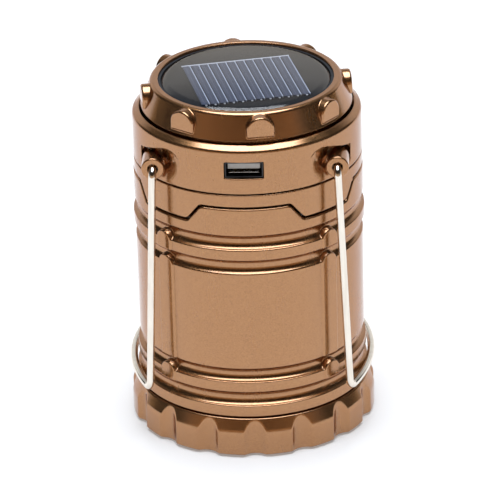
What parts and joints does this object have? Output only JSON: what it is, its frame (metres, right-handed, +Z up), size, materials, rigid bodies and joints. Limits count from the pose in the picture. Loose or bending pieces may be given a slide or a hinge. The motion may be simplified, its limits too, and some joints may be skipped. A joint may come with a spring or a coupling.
{
  "type": "solar lantern",
  "caption": "Pull-up solar lantern: a fluted base and ribbed sleeve around a clear lamp tube, a solar head with USB socket that lifts to open, and hinged wire handles.",
  "frame": {"origin": "centre of the footprint, on the plane of the rubber pads", "axes": "+Z up along the axis of the lantern, -Y towards the side with the USB socket, +X to the right seen from there"},
  "size_m": [0.0884, 0.0878, 0.1303],
  "materials": {
    "bronze_paint": "moulded ABS with fine metallic bronze paint, satin gloss",
    "black_plastic": "black moulded plastic",
    "pad_rubber": "soft black foot rubber",
    "seal_rubber": "black silicone seal",
    "screw_steel": "zinc-plated steel",
    "magnet_metal": "nickel-plated magnet",
    "white_plastic": "white moulded plastic",
    "clear_tube": "clear polycarbonate with upright ridges inside",
    "reflector_chrome": "vacuum-metallised plastic",
    "strip_board": "white circuit strip",
    "led_phosphor": "yellow phosphor over white emitter body",
    "battery_wrap": "shrink-wrapped rechargeable cell, steel can under green film",
    "contact_nickel": "nickel strip",
    "board_green": "circuit board with green solder mask",
    "chip_black": "moulded component bodies",
    "socket_steel": "bright stamped steel",
    "tongue_plastic": "light grey plastic",
    "contact_gold": "gold-plated spring contacts",
    "red_lens": "red light pipe",
    "reed_glass": "small glass reed capsule",
    "lead_red": "red insulated wire",
    "lead_black": "black insulated wire",
    "lead_white": "white insulated wire",
    "panel_black": "black laminate under the cell",
    "silicon_cell": "blue-grey polycrystalline silicon strips with silver grid lines",
    "busbar_silver": "printed silver busbar",
    "clear_dome": "clear domed epoxy cover",
    "handle_chrome": "bright chromed steel wire"
  },
  "bodies": {
    "body": {"base_ring": "bronze_paint", "base_plate": "black_plastic", "base_pads": "pad_rubber", "base_screws": "screw_steel", "body_sleeve": "bronze_paint", "stop_ring": "black_plastic", "switch_magnet": "magnet_metal"},
    "head": {"head_skirt": "bronze_paint", "head_shell": "bronze_paint", "deck_plate": "white_plastic", "deck_screws": "screw_steel", "lamp_tube": "clear_tube", "lamp_foot": "white_plastic", "friction_ring": "seal_rubber", "top_reflector": "reflector_chrome", "led_post": "white_plastic", "led_strips": "strip_board", "led_chips": "led_phosphor", "bottom_reflector": "reflector_chrome", "battery_cradle": "black_plastic", "battery_cell": "battery_wrap", "battery_contacts": "contact_nickel", "main_board": "board_green", "board_screws": "screw_steel", "board_parts": "chip_black", "usb_shell": "socket_steel", "usb_tongue": "tongue_plastic", "usb_contacts": "contact_gold", "charge_inlet": "socket_steel", "charge_board": "board_green", "charge_tongue": "black_plastic", "charge_lamp": "red_lens", "reed_switch": "reed_glass", "battery_leads": "lead_red", "solar_leads": "lead_black", "charge_leads": "lead_white", "lamp_leads": "lead_white", "solar_cap": "bronze_paint", "cap_screws": "screw_steel", "panel_gasket": "seal_rubber", "panel_board": "panel_black", "solar_cells": "silicon_cell", "cell_busbars": "busbar_silver", "panel_dome": "clear_dome"},
    "left_handle": {"handle_left": "handle_chrome"},
    "right_handle": {"handle_right": "handle_chrome"}
  },
  "joints": [
    {"name": "head_lift", "type": "slide", "parent": "body", "child": "head", "axis": [0, 0, 1], "range_m": [0, 0.055]},
    {"name": "left_handle_swing", "type": "hinge", "parent": "head", "child": "left_handle", "pos_m": [-0.0321, 0, 0.1061], "axis": [0, 1, 0], "range_deg": [0, 193.5]},
    {"name": "right_handle_swing", "type": "hinge", "parent": "head", "child": "right_handle", "pos_m": [0.0321, 0, 0.1061], "axis": [0, -1, 0], "range_deg": [0, 193.5]}
  ]
}
